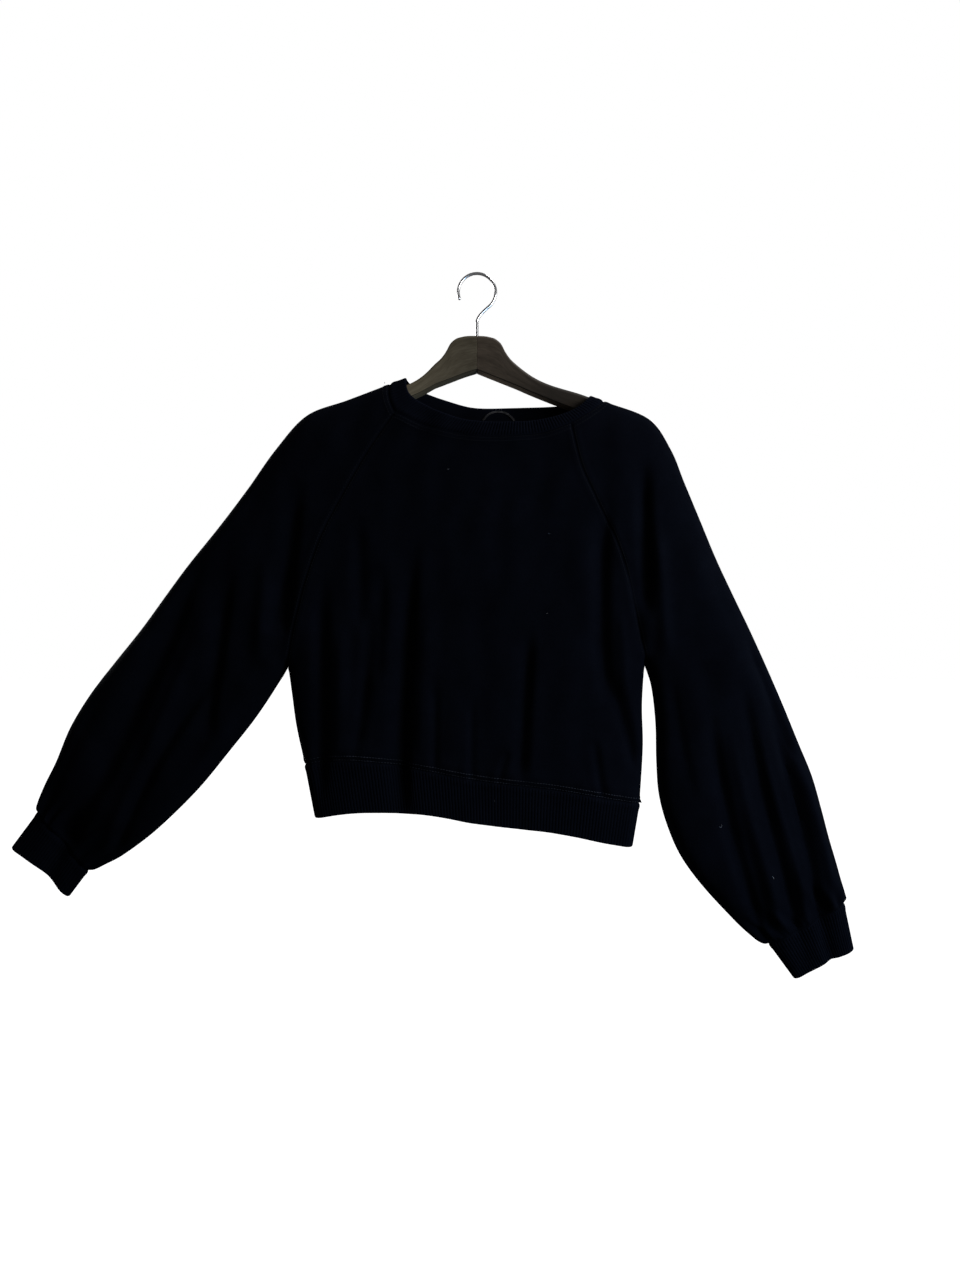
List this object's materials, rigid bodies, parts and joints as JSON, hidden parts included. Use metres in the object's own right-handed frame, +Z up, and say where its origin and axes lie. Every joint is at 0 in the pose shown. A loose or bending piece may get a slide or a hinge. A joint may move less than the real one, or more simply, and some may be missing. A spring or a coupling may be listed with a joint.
{
  "type": "sweatshirt on a clothes hanger",
  "caption": "Cropped sweatshirt with a wide crew neck and full raglan sleeves gathered into ribbed cuffs, hung on a wooden clothes hanger with a wire hook.",
  "frame": {"origin": "the inner crown of the hook, where a rail carries it", "axes": "+X to the viewer's right as seen from the front, -Y the garment's front, +Z up along the hook's pull"},
  "size_m": [1.0261, 0.0681, 0.8617],
  "materials": {
    "fleece": "matte cotton sweatshirt fabric",
    "rib": "matte rib knit",
    "tape": "plain woven tape",
    "wood": "dark stain, satin",
    "steel": "bright wire"
  },
  "bodies": {
    "root": {"front_panel": "fleece", "back_panel": "fleece", "left_sleeve": "fleece", "right_sleeve": "fleece", "neck_band": "rib", "hem_band": "rib", "left_cuff": "rib", "right_cuff": "rib", "neck_loop": "tape", "hanger_left": "wood", "hanger_right": "wood", "hanger_hook": "steel"}
  },
  "joints": []
}
